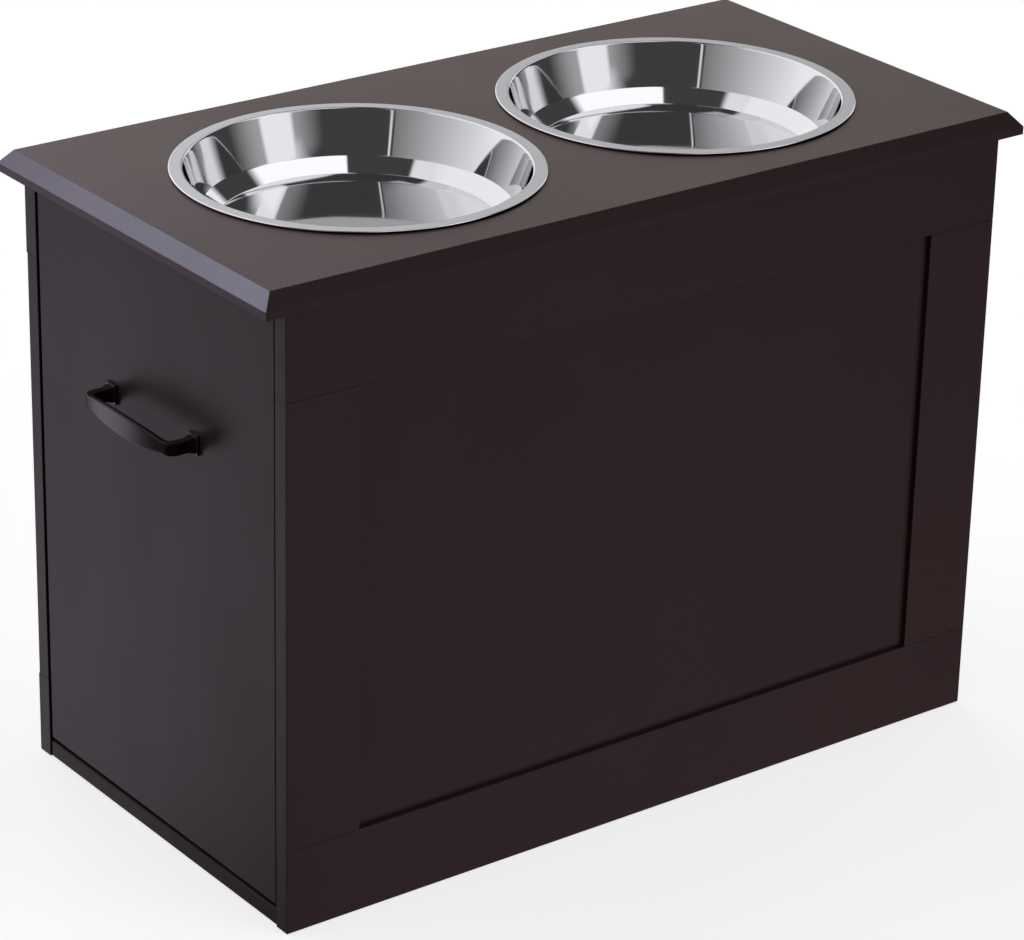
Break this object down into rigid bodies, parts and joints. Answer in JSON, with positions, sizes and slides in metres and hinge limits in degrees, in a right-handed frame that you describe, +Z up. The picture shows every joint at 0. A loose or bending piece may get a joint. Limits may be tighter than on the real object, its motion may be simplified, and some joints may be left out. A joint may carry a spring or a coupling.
{
  "type": "elevated dog feeder with storage drawer",
  "caption": "Raised pet feeder: a cabinet whose top board holds lift-out steel bowls, with a full-length storage drawer that pulls out of one end on roller slides.",
  "frame": {"origin": "centre of the underside, on the floor", "axes": "+X to the right, away from the drawer front; -Y is the front; +Z up"},
  "size_m": [0.6062, 0.31, 0.4356],
  "materials": {
    "espresso_board": "fibreboard with a smooth satin dark espresso paint",
    "bowl_steel": "mirror-polished stainless steel inside, satin rim",
    "handle_black": "satin near-black coating on a zinc casting",
    "slide_coated_steel": "dark epoxy coat on rolled steel",
    "roller_nylon": "natural nylon",
    "cam_zinc": "bare cast zinc",
    "fastener_steel": "zinc-plated steel",
    "dowel_wood": "bare beech"
  },
  "bodies": {
    "cabinet": {"back_lower_rail": "espresso_board", "back_panel": "espresso_board", "back_stile_left": "espresso_board", "back_stile_right": "espresso_board", "back_upper_rail": "espresso_board", "bottom_board": "espresso_board", "cabinet_cam_bolts": "fastener_steel", "cabinet_cams": "cam_zinc", "cabinet_roller_pins": "fastener_steel", "cabinet_slide_back": "slide_coated_steel", "cabinet_slide_front": "slide_coated_steel", "cabinet_slide_screws": "fastener_steel", "cleat_screws": "fastener_steel", "end_panel": "espresso_board", "front_lower_rail": "espresso_board", "front_panel": "espresso_board", "front_stile_left": "espresso_board", "front_stile_right": "espresso_board", "front_upper_rail": "espresso_board", "top_board": "espresso_board", "top_cleat_back": "espresso_board", "top_cleat_front": "espresso_board", "wood_dowels": "dowel_wood"},
    "drawer": {"drawer_front": "espresso_board", "drawer_side_front": "espresso_board", "drawer_side_back": "espresso_board", "drawer_end": "espresso_board", "drawer_bottom": "espresso_board", "drawer_cams": "cam_zinc", "drawer_cam_bolts": "fastener_steel", "drawer_box_screws": "fastener_steel", "drawer_handle": "handle_black", "handle_screws": "fastener_steel", "drawer_slide_front": "slide_coated_steel", "drawer_slide_back": "slide_coated_steel", "drawer_roller_pins": "fastener_steel", "drawer_slide_screws": "fastener_steel"},
    "left_bowl": {"bowl_left": "bowl_steel"},
    "right_bowl": {"bowl_right": "bowl_steel"},
    "front_cabinet_roller": {"cabinet_roller_front": "roller_nylon"},
    "back_cabinet_roller": {"cabinet_roller_back": "roller_nylon"},
    "front_drawer_roller": {"drawer_roller_front": "roller_nylon"},
    "back_drawer_roller": {"drawer_roller_back": "roller_nylon"}
  },
  "joints": [
    {"name": "drawer_slide", "type": "slide", "parent": "cabinet", "child": "drawer", "axis": [-1, 0, 0], "range_m": [0, 0.38]},
    {"name": "left_bowl_lift", "type": "slide", "parent": "cabinet", "child": "left_bowl", "axis": [0, 0, 1], "range_m": [0, 0.08]},
    {"name": "right_bowl_lift", "type": "slide", "parent": "cabinet", "child": "right_bowl", "axis": [0, 0, 1], "range_m": [0, 0.08]},
    {"name": "front_cabinet_roller_spin", "type": "hinge", "parent": "cabinet", "child": "front_cabinet_roller", "pos_m": [-0.2562, -0.13105, 0.0246], "axis": [0, 1, 0], "range_deg": [-2742, 20]},
    {"name": "front_drawer_roller_spin", "type": "hinge", "parent": "drawer", "child": "front_drawer_roller", "pos_m": [0.2178, -0.13105, 0.02425], "axis": [0, 1, 0], "range_deg": [-2742, 20]},
    {"name": "back_cabinet_roller_spin", "type": "hinge", "parent": "cabinet", "child": "back_cabinet_roller", "pos_m": [-0.2562, 0.13105, 0.0246], "axis": [0, 1, 0], "range_deg": [-2742, 20]},
    {"name": "back_drawer_roller_spin", "type": "hinge", "parent": "drawer", "child": "back_drawer_roller", "pos_m": [0.2178, 0.13105, 0.02425], "axis": [0, 1, 0], "range_deg": [-2742, 20]}
  ],
  "couplings": [
    {"joint": "front_cabinet_roller_spin", "follows": "drawer_slide", "rad_per_m": -125},
    {"joint": "front_drawer_roller_spin", "follows": "drawer_slide", "rad_per_m": -125},
    {"joint": "back_cabinet_roller_spin", "follows": "drawer_slide", "rad_per_m": -125},
    {"joint": "back_drawer_roller_spin", "follows": "drawer_slide", "rad_per_m": -125}
  ]
}
